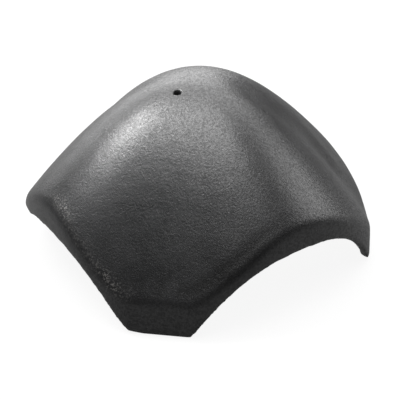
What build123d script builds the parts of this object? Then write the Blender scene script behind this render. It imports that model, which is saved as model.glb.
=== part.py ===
from build123d import *
import math
import os

os.makedirs("parts", exist_ok=True)

# Three-way ridge tile: a domed cap where two sloping hips meet a ridge. All lengths are in millimetres.
# The origin is the middle of the plan at floor level. The front lappet points to -Y, the ridge arm to +Y.

# Dome: the height of its top, how softly the top is rounded, and how steeply it falls each way
apex_height = 217.0
dome_softness = 208.0
front_fall = 2.2
hip_fall = 1.7
valley_fall = 2.24
ridge_fall = 1.25
valley_angle = 106.0
valley_sharpness = 0.6

# Arms: three arched mouths of one width. The hip mouths lean out along their sloping arms,
# and the ridge mouth stands taller and almost upright, because the ridge runs level
hip_arm_angle = 51.5
mouth_half_width = 133.0
mouth_reach = 154.0
hip_mouth_rise = 70.0
hip_mouth_lean = 0.40
ridge_mouth_rise = 94.0
ridge_mouth_lean = 0.15
arch_squareness = 2.7

# Shell, edges and the nail hole
wall = 14.0
corner_round = 20.0
inner_corner_round = 5.0
crease_round = 13.0
worn_toe_start = 0.5
worn_toe_height = 35.0
worn_toe_length = 40.0
nail_hole_diameter = 8.5
nail_hole_x = -11.0
nail_hole_y = -28.0

foot_radius = math.hypot(mouth_reach, mouth_half_width)
side_lappet_angle = (hip_arm_angle + 180.0) / 2
mouths = ((hip_arm_angle, hip_mouth_rise, hip_mouth_lean), (180.0, ridge_mouth_rise, ridge_mouth_lean),
          (-hip_arm_angle, hip_mouth_rise, hip_mouth_lean))


def arch_height(t, rise):
    """Height of a mouth's arch over the floor, at the distance t from its middle."""
    return rise * (1 - abs(t / mouth_half_width) ** arch_squareness)


def turned(u, t, angle):
    """Plan point u along an arm and t across it. An arm's angle is counted from the front lappet."""
    a = math.radians(angle - 90.0)
    return (u * math.cos(a) - t * math.sin(a), u * math.sin(a) + t * math.cos(a))


def blended(s, sharpness, sharp_end):
    """Ramp from 0 to 1 that is level at both ends, or breaks off sharply at the valley end."""
    soft = (1 - math.cos(math.pi * s)) / 2
    sharp = s * s if sharp_end == 1 else 1 - (1 - s) ** 2
    return (1 - sharpness) * soft + sharpness * sharp


def fall(angle):
    """How steeply the dome falls in a direction, blended between lappets, arms and valleys."""
    if angle <= hip_arm_angle:
        return front_fall + (hip_fall - front_fall) * blended(angle / hip_arm_angle, 0.0, 1)
    if angle <= valley_angle:
        s = (angle - hip_arm_angle) / (valley_angle - hip_arm_angle)
        return hip_fall + (valley_fall - hip_fall) * blended(s, valley_sharpness, 1)
    s = (angle - valley_angle) / (180.0 - valley_angle)
    return valley_fall + (ridge_fall - valley_fall) * blended(min(s, 1.0), valley_sharpness, 0)


def outer_height(x, y):
    """Height of the outer surface over a plan point."""
    angle = abs(math.degrees(math.atan2(x, -y)))
    return apex_height - fall(angle) * (math.hypot(x, y, dome_softness) - dome_softness)


def inner_height(x, y):
    """Height of the inner surface, one wall thickness inside the outer one."""
    step = 1.0
    slope_x = (outer_height(x + step, y) - outer_height(x - step, y)) / (2 * step)
    slope_y = (outer_height(x, y + step) - outer_height(x, y - step)) / (2 * step)
    return outer_height(x, y) - wall * math.sqrt(1 + slope_x ** 2 + slope_y ** 2)


def dome_surface(height):
    """Smooth surface through points of a height formula, wider than the tile all round."""
    reach = 1.2 * foot_radius
    count = 25
    step = 2 * reach / (count - 1)
    places = [-reach + i * step for i in range(count)]
    grid = [[Vector(x, y, height(x, y)) for y in places] for x in places]
    return Face.make_surface_from_array_of_points(grid, tol=0.1, min_deg=3, max_deg=3)


def mouth_edge(mouth, inset):
    """Plan edge of one mouth. It bulges where the arch is high, because the mouth leans out."""
    angle, rise, lean = mouth
    half = mouth_half_width - inset * 0.3
    points = []
    for k in range(9):
        t = half * (k / 4 - 1)
        points.append(turned(mouth_reach + lean * arch_height(t, rise) - inset, t, angle))
    return Spline(*points)


def lappet_edge(start, end, middle_angle, inset):
    """Plan edge of a lappet: straight at the front, a round arc at the wide sides."""
    if middle_angle == 0.0:
        return Line(start, end)
    a = math.radians(middle_angle - 90.0)
    middle = ((foot_radius - inset) * math.cos(a), (foot_radius - inset) * math.sin(a))
    return ThreePointArc(start, middle, end)


def footprint(inset, rounding):
    """Closed plan outline: three bulging mouths joined by three lappet edges."""
    arcs = [mouth_edge(mouth, inset) for mouth in mouths]
    middles = (side_lappet_angle, -side_lappet_angle, 0.0)
    edges = []
    for k in range(3):
        edges.append(arcs[k])
        edges.append(lappet_edge(arcs[k] @ 1, arcs[(k + 1) % 3] @ 0, middles[k], inset))
    face = make_face(Wire(edges))
    return fillet(face.vertices(), rounding)


def under_dome(height, inset, rounding, floor):
    """Solid inside the plan outline, from the floor up to a dome surface."""
    prism = Pos(0, 0, floor) * extrude(footprint(inset, rounding), amount=1.3 * apex_height - floor)
    return split(prism, bisect_by=dome_surface(height), keep=Keep.BOTTOM)


def mouth_tunnel(mouth):
    """Level arched tunnel from the middle of the cap out through one mouth."""
    angle, rise, lean = mouth
    half, low = mouth_half_width, -2 * wall
    count = 12
    points = [(half * (1 - 2 * k / count), 0, arch_height(half * (1 - 2 * k / count), rise)) for k in range(count + 1)]
    sides = [Spline(*points), Line((-half, 0, 0), (-half, 0, low)), Line((-half, 0, low), (half, 0, low)),
             Line((half, 0, low), (half, 0, 0))]
    tunnel = extrude(make_face(Wire(sides)), amount=2 * mouth_reach, dir=(0, -1, 0))
    return Rot(0, 0, angle) * tunnel


def worn_toe():
    """Worn-off lower corner of the left side lappet. The wear starts part way along the left hip mouth's arch."""
    half, low = mouth_half_width, -2 * wall
    start = (-half * worn_toe_start, 0, arch_height(half * worn_toe_start, hip_mouth_rise))
    middle = (-half, 0, worn_toe_height)
    end = (-half - worn_toe_length, 0, 0)
    sides = [ThreePointArc(start, middle, end), Line(end, (end[0], 0, low)),
             Line((end[0], 0, low), (start[0], 0, low)), Line((start[0], 0, low), start)]
    corner = extrude(make_face(Wire(sides)), amount=2 * mouth_reach, dir=(0, -1, 0))
    return Rot(0, 0, -hip_arm_angle) * corner


# Outer body: everything under the dome and inside the plan outline
outer = under_dome(outer_height, 0.0, corner_round, 0.0)

# Crease where the dome turns down into the skirt
crease = [e for e in outer.edges() if e.center().Z > wall / 2 and abs(e.tangent_at(0.5).Z) < 0.8]
outer = fillet(crease, crease_round)

# Hollow: one wall thickness inside the dome and the skirt
hollow = under_dome(inner_height, wall, inner_corner_round, -wall)
tile = outer - hollow

# Arched mouths, and the one toe that is rounded off
for mouth in mouths:
    tile = tile - mouth_tunnel(mouth)
tile = tile - worn_toe()

# Nail hole through the top
tile = tile - Pos(nail_hole_x, nail_hole_y, apex_height) * Cylinder(nail_hole_diameter / 2, apex_height / 2)

# The plan is centred on the origin
box = tile.bounding_box()
plan_shift_x = -(box.min.X + box.max.X) / 2
plan_shift = -(box.min.Y + box.max.Y) / 2
tile = Pos(plan_shift_x, plan_shift, 0) * tile

box = tile.bounding_box()
print("solids", len(tile.solids()), "volume cm3", round(tile.volume / 1000, 1), "shift", round(plan_shift_x, 2), round(plan_shift, 2))
print("hole at", nail_hole_x, round(nail_hole_y + plan_shift, 2), "top", round(outer_height(nail_hole_x, nail_hole_y), 2),
      "bottom", round(inner_height(nail_hole_x, nail_hole_y), 2))
print("box", [round(v, 1) for v in (box.min.X, box.min.Y, box.min.Z, box.max.X, box.max.Y, box.max.Z)])

export_step(tile, "parts/ridge_tile.step")
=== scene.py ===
# %% [markdown]
# # A three-way ridge tile
# A cap of dark coated concrete covers the place on a roof where two hips meet the ridge.
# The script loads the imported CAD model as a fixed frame, gives it its finish, and then sets up
# the floor, the camera and the lamps. Lengths are in metres, as in the CAD model. Values that are
# easier to think of in millimetres say so in their names.

# %% The frame
import math

import bpy
import numpy as np
from mathutils import Matrix, Vector, noise


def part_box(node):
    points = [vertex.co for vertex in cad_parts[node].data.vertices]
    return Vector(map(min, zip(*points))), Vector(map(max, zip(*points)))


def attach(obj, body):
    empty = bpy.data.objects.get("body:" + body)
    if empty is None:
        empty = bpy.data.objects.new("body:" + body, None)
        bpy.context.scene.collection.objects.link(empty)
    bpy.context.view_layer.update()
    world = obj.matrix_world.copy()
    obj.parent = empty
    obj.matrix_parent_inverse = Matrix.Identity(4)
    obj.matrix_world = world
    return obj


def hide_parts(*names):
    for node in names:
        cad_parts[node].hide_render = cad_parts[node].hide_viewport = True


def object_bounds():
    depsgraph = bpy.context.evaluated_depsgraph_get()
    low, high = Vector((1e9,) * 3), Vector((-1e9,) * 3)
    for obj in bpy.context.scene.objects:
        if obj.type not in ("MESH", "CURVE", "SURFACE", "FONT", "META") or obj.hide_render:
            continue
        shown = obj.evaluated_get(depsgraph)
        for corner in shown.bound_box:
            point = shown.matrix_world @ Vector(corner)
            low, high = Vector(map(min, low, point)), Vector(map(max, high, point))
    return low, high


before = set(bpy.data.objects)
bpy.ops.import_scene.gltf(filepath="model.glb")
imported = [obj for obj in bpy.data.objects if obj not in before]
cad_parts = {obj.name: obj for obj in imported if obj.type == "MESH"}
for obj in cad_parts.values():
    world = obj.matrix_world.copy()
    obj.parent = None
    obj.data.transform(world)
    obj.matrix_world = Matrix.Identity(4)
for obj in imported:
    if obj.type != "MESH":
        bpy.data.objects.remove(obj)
cad_box = [list(map(float, corner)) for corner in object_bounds()]
print("CAD box", cad_box)

# %% [markdown]
# ## The pressed body
# The real tile is pressed from a damp sand and cement mix, so no edge on it is truly crisp and
# no face is quite even. A CAD solid has neither fault. A bevel modifier could round its edges, but
# it can't make them wander, and a CAD mesh has few points on its faces for noise to move. So the
# body is a copy of the CAD mesh, remeshed into small even cells. The CAD mesh itself stays as it is.

# %% Even cells
CELL_MM = 1.7           # size of one cell of the new mesh
SOFTEN_PASSES = 7       # evens out the steps that a voxel mesh has


def apply_modifiers(body):
    """Replaces an object's mesh by what its modifiers make of it."""
    ready = body.evaluated_get(bpy.context.evaluated_depsgraph_get())
    mesh = bpy.data.meshes.new_from_object(ready)
    body.modifiers.clear()
    body.data = mesh


def even_cells(source, name):
    """Copies a mesh object and remeshes the copy into even cells."""
    body = bpy.data.objects.new(name, source.data.copy())
    bpy.context.scene.collection.objects.link(body)
    remesh = body.modifiers.new("even cells", "REMESH")
    remesh.mode = "VOXEL"
    remesh.voxel_size = CELL_MM / 1000
    soften = body.modifiers.new("soften", "SMOOTH")
    soften.factor = 0.5
    soften.iterations = SOFTEN_PASSES
    apply_modifiers(body)
    return body


tile = even_cells(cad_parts["ridge_tile"], "pressed_tile")
print("even cells", len(tile.data.polygons))

# %% [markdown]
# ## Edges worn soft
# A voxel mesh has small teeth along the edges of the arches. Smoothing all of it as strongly as they
# need would shrink the feet too. So each point is asked how far it stands out from the middle of its
# neighbours, and only one in fourteen does so clearly. From there the share spreads over three rings
# of neighbours, so that the smoothing fades out gently into the faces, and more than half of all
# points get some. The nail hole gets none, or it would lose its shape.

# %% Where the edges are
EDGE_BEND_MM = 0.12     # a point that stands out from its neighbours by this much is on an edge
EDGE_RINGS = 3          # rings of neighbours that an edge's softness spreads over
HOLE_ABOVE = 0.18       # metres over the floor; above this height the only edge is the nail hole's


def points_and_normals(mesh):
    """Points and normals of a mesh as two arrays."""
    points = np.empty(len(mesh.vertices) * 3)
    normals = np.empty(len(mesh.vertices) * 3)
    mesh.vertices.foreach_get("co", points)
    mesh.vertex_normals.foreach_get("vector", normals)
    return points.reshape(-1, 3), normals.reshape(-1, 3)


def edge_share(mesh, points):
    """1 on edges and 0 on even faces, from how far each point stands out from its neighbours."""
    ends = np.empty(len(mesh.edges) * 2, dtype=np.int64)
    mesh.edges.foreach_get("vertices", ends)
    first, second = ends.reshape(-1, 2).T
    here, there = np.concatenate([first, second]), np.concatenate([second, first])
    links = np.bincount(here, minlength=len(points))
    middle = np.stack([np.bincount(here, points[there, k], len(points)) / links for k in range(3)], axis=1)
    share = np.clip(np.linalg.norm(middle - points, axis=1) * 1000 / EDGE_BEND_MM, 0, 1)
    for ring in range(EDGE_RINGS):
        spread = np.bincount(here, share[there], len(points)) / links
        share = np.maximum(share, np.clip(1.5 * spread, 0, 1))
    return share


points, normals = points_and_normals(tile.data)
on_edge = edge_share(tile.data, points)
on_edge[points[:, 2] > HOLE_ABOVE] = 0.0
print("points on edges", int((on_edge > 0.5).sum()), "of", len(points))

# %% Softening the edges
EDGE_PASSES = 36


def soften_where(body, name, share, passes):
    """Smooths a mesh in proportion to a share at each point."""
    group = body.vertex_groups.new(name=name)
    for i in np.nonzero(share > 0.01)[0]:
        group.add([int(i)], float(share[i]), "REPLACE")
    smooth = body.modifiers.new(name, "SMOOTH")
    smooth.factor = 0.5
    smooth.iterations = passes
    smooth.vertex_group = name
    apply_modifiers(body)
    body.vertex_groups.clear()


soften_where(tile, "edges", on_edge, EDGE_PASSES)
print("edges softened in", EDGE_PASSES, "passes")

# %% [markdown]
# ## The rolled crease
# Where the dome meets the upright band along the rim, the real tile rolls over in a wide soft curve.
# The band is upright, so its plan radius is the rim's. A table of that radius, one entry for each
# degree round the tile, tells how far inside the rim any other point lies. The last few centimetres
# before the rim are then smoothed much more than the edges were.

# %% How far each point lies inside the rim
FAR_MM = 60.0           # any point farther in than this counts as dome
BAND_BELOW = 0.15       # metres over the floor; the band lies lower than this


def rim_distance(points, normals):
    """How far each outer point lies inside the rim band, in mm. Other points count as far away."""
    turn = np.degrees(np.arctan2(points[:, 1], points[:, 0])) % 360
    radius = np.hypot(points[:, 0], points[:, 1])
    outward = (points[:, 0] * normals[:, 0] + points[:, 1] * normals[:, 1]) > 0
    on_band = outward & (np.abs(normals[:, 2]) < 0.1) & (points[:, 2] < BAND_BELOW)
    rim = np.zeros(360)
    np.maximum.at(rim, turn[on_band].astype(int), radius[on_band])
    distance = (np.interp(turn, np.arange(360) + 0.5, rim, period=360) - radius) * 1000
    distance[~outward | (normals[:, 2] < -0.1)] = FAR_MM
    return np.clip(distance, 0.0, FAR_MM)


points, normals = points_and_normals(tile.data)
inside_rim = rim_distance(points, normals)
print("points within a centimetre of the rim", int((inside_rim < 10).sum()))

# %% Rolling the crease over
ROLL_MM = 26.0          # the dome rolls over into the band within this distance
ROLL_PASSES = 74
ROLL_SHARE = 1.3        # over 1, so that the strip next to the rim is smoothed in full

rolled = np.clip(ROLL_SHARE - ROLL_SHARE * inside_rim / ROLL_MM, 0, 1)
rolled *= np.clip(0.25 + 3.0 * normals[:, 2], 0, 1)      # the upright band keeps most of its shape
soften_where(tile, "crease", rolled, ROLL_PASSES)
print("points rolled over", int((rolled > 0.5).sum()))

# %% [markdown]
# ## A worn corner
# The front lappet's left corner is knocked round on the real tile, as pressed corners often are
# from handling. The same weighted smoothing does it, with a share that fades out from the corner.

# %% The front lappet's left corner
WORN_CORNER = (-0.037, -0.179, 0.0)
WORN_REACH_MM = 20.0    # how far the wear reaches from the corner
WORN_PASSES = 60
WORN_SHARE = 1.5        # over 1, so that the corner itself is smoothed in full

points, normals = points_and_normals(tile.data)
reach = np.linalg.norm(points - np.array(WORN_CORNER), axis=1) * 1000
worn = np.clip(WORN_SHARE - WORN_SHARE * reach / WORN_REACH_MM, 0, 1)
soften_where(tile, "worn corner", worn, WORN_PASSES)
print("points worn", int((worn > 0).sum()))

# %% [markdown]
# ## Fewer triangles
# Small cells were needed for clean edges, but the even faces don't need them. A Decimate modifier
# merges cells where that changes the shape least, so the edges keep their points and the faces
# give up theirs. The mesh then stays light enough for a library of parts.

# %% Thinning the mesh
MOST_TRIANGLES = 190000


def triangle_count(mesh):
    """Triangles that a mesh's faces come to."""
    return sum(len(face.vertices) - 2 for face in mesh.polygons)


def thin_out(body, most_triangles):
    """Merges cells where the surface is even, until no more than this many triangles are left."""
    thin = body.modifiers.new("thin out", "DECIMATE")
    thin.ratio = min(1.0, most_triangles / triangle_count(body.data))
    apply_modifiers(body)


print("triangles before", triangle_count(tile.data))
thin_out(tile, MOST_TRIANGLES)
print("triangles after", triangle_count(tile.data))

# %% [markdown]
# ## Marks along the rim
# Two things follow the rim of the real tile. In front, to the right, a faint hollow lies just inside
# the band, and its shade is painted into the coating as a darker colour. On the left, short pale
# patches lie on the crease: partly sand where the coating is rubbed off, partly a painted highlight
# where the crease's edge catches the light. Both are worked out once for each point, from its
# distance inside the rim and its turn round the tile. The hollow is then also pressed in, and the
# material reads both as attributes, which are easier to aim than a pattern made from nodes alone.

# %% The shaded hollow, and the pale patches of rubbed sand and painted highlight
HOLLOW_IN_MM = 9.0      # from the band's face to the middle of the hollow
HOLLOW_HALF_MM = 9.0    # half the hollow's width
HOLLOW_MIDDLE = 24.0    # degrees from the front lappet to the right, where it is deepest
HOLLOW_REACH = 50.0     # degrees from there to where it has faded
# Pale patches on the crease, partly rubbed sand, partly painted highlight; the first is the strongest.
RUBBED_AND_GLINT_PATCHES = (      # strength, mm inside the rim, half width in mm, turn, half length in degrees
    (1.3, 10.0, 8.0, -50.0, 12.0),
    (0.75, 5.0, 6.0, -17.0, 12.0),
    (0.35, 5.0, 6.0, -34.0, 22.0),
)


def bell(values, middle, half_width):
    """1 at the middle, falling smoothly to 0 at half a width to either side."""
    return 0.5 + 0.5 * np.cos(math.pi * np.clip((values - middle) / half_width, -1, 1))


points, normals = points_and_normals(tile.data)
inside_rim = rim_distance(points, normals)
turn = np.degrees(np.arctan2(points[:, 0], -points[:, 1]))     # 0 at the front lappet
# The hollow's mask: it presses the hollow in, and the material darkens it as painted shade.
hollow = bell(inside_rim, HOLLOW_IN_MM, HOLLOW_HALF_MM) * bell(turn, HOLLOW_MIDDLE, HOLLOW_REACH)
# Pale patches on the crease: bare sand where it is rubbed, and painted highlight where it catches light.
rubbed_and_glint = sum(strength * bell(inside_rim, inside, half) * bell(turn, middle, reach)
             for strength, inside, half, middle, reach in RUBBED_AND_GLINT_PATCHES)
rubbed_and_glint *= (inside_rim < ROLL_MM) & (normals[:, 2] > 0.05)      # on the outer face only
print("points in the hollow", int((hollow > 0.5).sum()), "and rubbed", int((rubbed_and_glint > 0.3).sum()))

# %% [markdown]
# ## Pressed in
# Slow noise now makes the faces uneven, as a pressed mix is, and finer noise adds its clods. Noise
# that moved points both ways would take the body past its CAD size, so everything moves inwards
# only, by well under a millimetre, and the result is held inside the CAD box.

# %% Pressing the body in
LUMP_MM = 18.0          # unevenness of the pressed mix
CLOD_MM = 5.0           # clumps of sand in the surface
LUMP_DEPTH_MM = 0.20
CLOD_DEPTH_MM = 0.03
HOLLOW_DEPTH_MM = 0.6
CLOD_SHIFT = Vector((7.3, 1.9, 4.1))    # keeps the two noises from lining up


def noise_depth(point):
    """Depth in mm that the two noises press a point in by."""
    lump = noise.noise(Vector(point * (1000 / LUMP_MM)))
    clod = noise.noise(Vector(point * (1000 / CLOD_MM)) + CLOD_SHIFT)
    return LUMP_DEPTH_MM * (0.5 + 0.5 * lump) + CLOD_DEPTH_MM * (0.5 + 0.5 * clod)


depth = np.array([noise_depth(point) for point in points])
depth += HOLLOW_DEPTH_MM * hollow
points -= normals * depth[:, None] / 1000
tile_low, tile_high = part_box("ridge_tile")
points = np.clip(points, np.array(tile_low), np.array(tile_high))
tile.data.vertices.foreach_set("co", points.ravel())
print("pressed in by", round(float(depth.min()), 2), "to", round(float(depth.max()), 2), "mm")

# %% Attributes for the material, and the body's place in the frame
# The painted shade of the hollow and the pale patches go to the material as attributes.
for name, values in (("hollow", hollow), ("rubbed_and_glint", rubbed_and_glint)):
    mark = tile.data.attributes.new(name, "FLOAT", "POINT")
    mark.data.foreach_set("value", values.astype(np.float32))
for face in tile.data.polygons:
    face.use_smooth = True
tile.data.update()
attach(tile, "root")
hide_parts("ridge_tile")
print("attributes", [mark.name for mark in tile.data.attributes if mark.name in ("hollow", "rubbed_and_glint")])

# %% [markdown]
# ## Colours and nodes
# A colour is given as a hex value, which is in sRGB. Blender's sockets want linear values,
# so one function turns the first into the second. A second small helper adds a shader node,
# sets its properties and links its inputs, which keeps a long material readable.

# %% Helpers for materials
def linear(hex_colour):
    """Linear RGBA from an sRGB hex colour."""
    channels = [int(hex_colour[i:i + 2], 16) / 255 for i in (1, 3, 5)]
    return [c / 12.92 if c <= 0.04045 else ((c + 0.055) / 1.055) ** 2.4 for c in channels] + [1.0]


def add_node(tree, kind, settings=None, inputs=None):
    """Adds a node, sets its properties, and fills or links its inputs."""
    node = tree.nodes.new(kind)
    for name, value in (settings or {}).items():
        setattr(node, name, value)
    for name, value in (inputs or {}).items():
        socket = node.inputs[name]
        if isinstance(value, bpy.types.NodeSocket):
            tree.links.new(value, socket)
        else:
            socket.default_value = value
    return node


def new_material(name):
    """An empty node material, ready for its own nodes."""
    material = bpy.data.materials.new(name)
    material.use_nodes = True
    material.node_tree.nodes.clear()
    return material, material.node_tree


print("middle grey in linear light", round(linear("#808080")[0], 3))

# %% [markdown]
# ## Coated concrete
# The pressed body is sprayed with an acrylic coating in graphite. The sand stays visible under it as
# a fine grain of about 2 to 3 mm on the dome, while the rim band comes out of its mould smoother.
# The coating gives the soft, broad shine that the eye reads as paint on stone, and it sinks into
# pits where it shines less. An image could show all this, but it would stretch over the dome. Noise
# in object space keeps its size in millimetres on every face, so the material is made from that.

# %% The real sizes and colours of the coating
GRAIN_MM = 2.6          # one lump of sand under the coating
SAND_MM = 1.2           # the finest sand
PIT_MM = 2.5            # pits that the coating sinks into; the real ones are about half as wide
BLOTCH_MM = 60.0        # uneven spray
GRAPHITE = "#181819"
GRAPHITE_THIN = "#29292A"       # where less of it was sprayed, over paler sand
GRAPHITE_PAINTED_SHADE = "#101010"       # painted shade in the hollow
WORN_SAND_AND_GLINT = "#7C7A77"           # bare sand where the coating is rubbed off, also used as painted highlight on the crease
print("coating from", GRAPHITE, "to", GRAPHITE_THIN, "over grain of", GRAIN_MM, "mm")

# %% [markdown]
# ### Grain, pits and spray
# Four patterns come from one kind of noise at different sizes. The grain and its finest sand go
# into the bump, the pits into the coating's weight, and the blotches of the spray into its colour
# and gloss. The body's two attributes are read beside them.

# %% Patterns of the coating
PATTERNS = {            # size in mm, detail and roughness of the noise
    "grain": (GRAIN_MM, 4.0, 0.72),
    "sand": (SAND_MM, 1.0, 0.5),
    "pits": (PIT_MM, 3.0, 0.6),
    "blotch": (BLOTCH_MM, 3.0, 0.6),
}
concrete, tree = new_material("graphite_coated_concrete")
place = add_node(tree, "ShaderNodeTexCoord").outputs["Object"]
patterns = {}
for name, (size_mm, detail, roughness) in PATTERNS.items():
    patterns[name] = add_node(tree, "ShaderNodeTexNoise", None, {
        "Vector": place, "Scale": 1000 / size_mm, "Detail": detail, "Roughness": roughness}).outputs["Fac"]
for name in ("hollow", "rubbed_and_glint"):
    patterns[name] = add_node(tree, "ShaderNodeAttribute", {
        "attribute_type": "GEOMETRY", "attribute_name": name}).outputs["Fac"]
print("patterns", sorted(patterns))

# %% [markdown]
# ### Relief
# Real displacement of grains this small would need millions of triangles, so bump does it. It is
# stronger on the dome than on the upright band, and the upward part of the normal tells them apart.

# %% Bump of the grain
GRAIN_DEPTH = 0.0004            # metres that full bump stands for
BAND_BUMP, DOME_BUMP = 0.50, 0.90
SAND_IN_GRAIN = 0.4             # how much the finest sand adds to the grain

upward = add_node(tree, "ShaderNodeSeparateXYZ", None, {
    "Vector": add_node(tree, "ShaderNodeNewGeometry").outputs["Normal"]}).outputs["Z"]
on_dome = add_node(tree, "ShaderNodeMapRange", {"interpolation_type": "SMOOTHSTEP"}, {
    "Value": upward, "From Min": 0.05, "From Max": 0.40}).outputs["Result"]
strength = add_node(tree, "ShaderNodeMapRange", None, {
    "Value": on_dome, "To Min": BAND_BUMP, "To Max": DOME_BUMP}).outputs["Result"]
relief = add_node(tree, "ShaderNodeMath", {"operation": "MULTIPLY_ADD"}, {
    0: patterns["sand"], 1: SAND_IN_GRAIN, 2: patterns["grain"]}).outputs["Value"]
bump = add_node(tree, "ShaderNodeBump", None, {
    "Height": relief, "Distance": GRAIN_DEPTH, "Strength": strength}).outputs["Normal"]
print("grain up to", GRAIN_DEPTH * 1000, "mm deep")

# %% [markdown]
# ### Colour
# The colour is built up in layers. The spray is thinner in blotches and on single grains, as on
# the real tile. In the rubbed patches bare sand shows, on the tops of the grains first, and the same
# pale colour paints a highlight on the crease's edge. Painted shade in the hollow comes last and
# covers both.

# %% Colour of the coating
thin = add_node(tree, "ShaderNodeMath", {"operation": "MULTIPLY"}, {
    0: patterns["blotch"], 1: patterns["grain"]}).outputs["Value"]
thin = add_node(tree, "ShaderNodeMapRange", None, {
    "Value": thin, "From Min": 0.15, "From Max": 0.38}).outputs["Result"]
# Pale patches: bare sand on the tops of the grains, and painted highlight along the crease.
bare_and_glint = add_node(tree, "ShaderNodeMapRange", {"interpolation_type": "SMOOTHSTEP"}, {
    "Value": patterns["grain"], "From Min": 0.50, "From Max": 0.62}).outputs["Result"]
bare_and_glint = add_node(tree, "ShaderNodeMath", {"operation": "MULTIPLY"}, {
    0: bare_and_glint, 1: patterns["rubbed_and_glint"]}).outputs["Value"]
tone = linear(GRAPHITE)
# Layers of colour: thinner spray, then the pale sand and painted highlight, then the painted shade.
for share, colour in ((thin, GRAPHITE_THIN), (bare_and_glint, WORN_SAND_AND_GLINT), (patterns["hollow"], GRAPHITE_PAINTED_SHADE)):
    tone = add_node(tree, "ShaderNodeMix", {"data_type": "RGBA"}, {
        "Factor": share, "A": tone, "B": linear(colour)}).outputs["Result"]
print("nodes so far", len(tree.nodes))

# %% [markdown]
# ### Shine
# The Principled shader has a coat layer for just this: a clear, smoother film over a rougher ground.
# Quartz sand has an IOR of about 1.55, which the ground takes. An acrylic film has about 1.5, and
# the coat was taken up to 1.6 to match the strength of this tile's shine. The coat's weight falls in
# the pits, so the highlight breaks up into fine sparkle, as on the real tile.

# %% The coated concrete material
PIT_SHINE = 0.32                # share of the coat that is left at the bottom of a pit
GLOSSY, DULL = 0.38, 0.46       # roughness of the ground, which follows the spray's blotches

coat = add_node(tree, "ShaderNodeMapRange", {"interpolation_type": "SMOOTHSTEP"}, {
    "Value": patterns["pits"], "From Min": 0.38, "From Max": 0.60,
    "To Min": PIT_SHINE, "To Max": 1.0}).outputs["Result"]
ground = add_node(tree, "ShaderNodeMapRange", None, {
    "Value": patterns["blotch"], "From Min": 0.35, "From Max": 0.65,
    "To Min": GLOSSY, "To Max": DULL}).outputs["Result"]
skin = add_node(tree, "ShaderNodeBsdfPrincipled", None, {
    "Base Color": tone, "Roughness": ground, "IOR": 1.55, "Normal": bump,
    "Coat Weight": coat, "Coat Roughness": 0.27, "Coat IOR": 1.6, "Coat Normal": bump})
add_node(tree, "ShaderNodeOutputMaterial", None, {"Surface": skin.outputs["BSDF"]})

tile.data.materials.clear()
tile.data.materials.append(concrete)
print("finish", concrete.name, "on", tile.name)

# %% [markdown]
# ## Floor
# A catalogue picture stands on white. A white floor would do it, but it would also throw much light
# up at the tile. So the floor is a mid grey sheet, and a glow that only the camera and clear or
# shiny things see lifts it to white. The tile's soft shadow stays on it. The coating shows that glow
# only weakly, because the real tile's lower front reflects something dark.

# %% The white floor
FLOOR_GREY = "#4E4E4E"
FLOOR_SIZE = 14.0
FLOOR_GAP = 0.0002      # keeps the floor just under the tile's feet
FLOOR_GLOW = 0.91       # with the light that falls on the sheet, this makes white
SHINE_SHARE = 0.13      # how much of the glow a reflection shows

pale_floor, tree = new_material("pale_floor")
rays = add_node(tree, "ShaderNodeLightPath").outputs
seen = add_node(tree, "ShaderNodeMath", {"operation": "MAXIMUM"}, {
    0: rays["Is Camera Ray"], 1: rays["Is Transmission Ray"]}).outputs["Value"]
seen = add_node(tree, "ShaderNodeMath", {"operation": "MULTIPLY_ADD"}, {
    0: rays["Is Glossy Ray"], 1: SHINE_SHARE, 2: seen}).outputs["Value"]
glow = add_node(tree, "ShaderNodeMath", {"operation": "MULTIPLY"}, {0: seen, 1: FLOOR_GLOW}).outputs["Value"]
sheet = add_node(tree, "ShaderNodeBsdfPrincipled", None, {
    "Base Color": linear(FLOOR_GREY), "Roughness": 0.9,
    "Emission Color": linear("#FFFFFF"), "Emission Strength": glow})
add_node(tree, "ShaderNodeOutputMaterial", None, {"Surface": sheet.outputs["BSDF"]})

bpy.ops.mesh.primitive_plane_add(size=FLOOR_SIZE, location=(0.0, 0.0, cad_box[0][2] - FLOOR_GAP))
floor = bpy.context.object
floor.name = "floor"
floor.data.materials.append(pale_floor)
print("floor", FLOOR_SIZE, "m wide at height", round(floor.location.z, 5))

# %% [markdown]
# ## Camera
# The photograph was taken from a little above, with a long lens and the front lappet turned a
# few degrees to the left. The distance and the angles come from fitting the CAD shape's outline
# to the outline in the picture. The camera could be aimed with a constraint, but it also leans by
# a degree, so its three directions are worked out one after the other.

# %% Where the camera stands
DISTANCE = 2.297               # from the camera to a point on the dome's axis
ELEVATION = 26.79              # degrees above the floor
AZIMUTH = 11.90                # degrees to the right of the front lappet
AXIS = Vector((0.0, 0.01593, 0.090))    # a point on the dome's axis
STRAIGHT_UP = Vector((0.0, 0.0, 1.0))

azimuth = math.radians(AZIMUTH)
elevation = math.radians(ELEVATION)
across = Vector((math.cos(azimuth), math.sin(azimuth), 0.0))
away = Vector((-math.sin(azimuth), math.cos(azimuth), 0.0))
eye = AXIS - away * DISTANCE * math.cos(elevation)
eye.z += DISTANCE * math.sin(elevation)
print("camera at", [round(v, 3) for v in eye])

# %% Where the camera looks
PAN, TILT = 0.192, -0.575      # small aiming turns, in degrees
ROLL = 1.01                    # the picture leans by about a degree

pan, tilt, roll = (math.radians(angle) for angle in (PAN, TILT, ROLL))
level = across * math.sin(pan) + away * math.cos(pan)
look = level * math.cos(elevation) - STRAIGHT_UP * math.sin(elevation)
right = across * math.cos(pan) - away * math.sin(pan)
look = look * math.cos(tilt) + right.cross(look) * math.sin(tilt)
up = right.cross(look)
leaning_right = right * math.cos(roll) - up * math.sin(roll)
leaning_up = right * math.sin(roll) + up * math.cos(roll)
print("camera looks along", [round(v, 3) for v in look])

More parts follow.
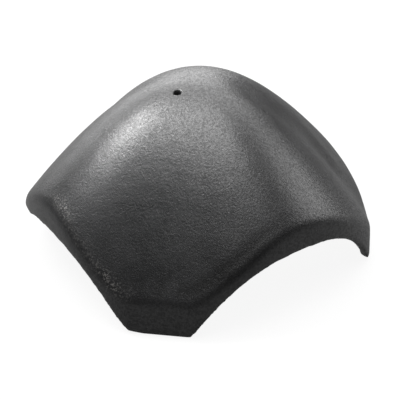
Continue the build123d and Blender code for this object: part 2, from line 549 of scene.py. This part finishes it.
# %% The camera
PICTURE = 400                  # pixels each way
FOCAL_PX = 2001.1              # focal length in pixels of the picture
SENSOR_MM = 36.0

camera_data = bpy.data.cameras.new("camera")
camera_data.sensor_width = SENSOR_MM
camera_data.sensor_fit = "HORIZONTAL"
camera_data.lens = FOCAL_PX / PICTURE * SENSOR_MM
camera_data.clip_end = 20.0
camera = bpy.data.objects.new("camera", camera_data)
bpy.context.scene.collection.objects.link(camera)
camera.location = eye
camera.rotation_euler = Matrix((leaning_right, leaning_up, -look)).transposed().to_euler()
bpy.context.scene.camera = camera
print("lens", round(camera_data.lens, 1), "mm")

# %% [markdown]
# ## Light
# A satin surface shows its lamps as soft patches, so the lamps are placed where the highlights
# ask for them. A lamp on the left makes the brightest patch on the dome, and a wide one overhead
# lights its shoulders. Two behind give the top and the left edge their pale sheen, and one on the
# right lights the right shoulder. The front gets one weak lamp and a dim sky, so the lower front
# stays dark. A lamp's direction is given as the photographer would say it: how far round from
# straight behind the tile, and how high.

# %% How a lamp is placed
MIDDLE = Vector((0.0, 0.0, 0.14))       # the lamps face this point inside the tile


def soft_lamp(name, around, high, distance, width, height, power):
    """Area lamp that faces the tile, placed by the angle round from straight behind it and its height."""
    around, high = math.radians(around), math.radians(high)
    level_way = away * math.cos(around) + across * math.sin(around)
    way = level_way * math.cos(high) + STRAIGHT_UP * math.sin(high)
    data = bpy.data.lights.new(name, "AREA")
    data.shape = "RECTANGLE"
    data.size = width
    data.size_y = height
    data.energy = power
    lamp = bpy.data.objects.new(name, data)
    bpy.context.scene.collection.objects.link(lamp)
    lamp.location = MIDDLE + way * distance
    lamp.rotation_euler = (-way).to_track_quat("-Z", "Y").to_euler()
    print(name, "at", [round(v, 2) for v in lamp.location], power, "W")


print("lamps face", [round(v, 2) for v in MIDDLE])

# %% Six lamps
# Degrees round and high, then distance, width and height in metres, and power in watts
soft_lamp("key_lamp", -71, 52, 1.6, 0.62, 0.60, 22.0)
soft_lamp("top_lamp", 180, 88, 1.7, 1.3, 1.3, 23.5)
soft_lamp("low_back_lamp", -17, 16, 2.0, 2.3, 1.0, 14.5)
soft_lamp("high_back_lamp", 12, 46, 2.0, 2.1, 1.5, 20.0)
soft_lamp("side_lamp", 70, 24, 2.0, 1.2, 1.2, 9.5)
soft_lamp("front_lamp", 150, 62, 2.0, 1.8, 0.8, 3.0)

# %% A dim sky
SKY_LEVEL = 0.035

world = bpy.data.worlds.new("studio")
world.use_nodes = True
bpy.context.scene.world = world
backdrop = world.node_tree.nodes["Background"]
backdrop.inputs["Color"].default_value = linear("#FFFFFF")
backdrop.inputs["Strength"].default_value = SKY_LEVEL
bpy.context.scene.view_settings.view_transform = "Standard"
print("sky at", SKY_LEVEL)
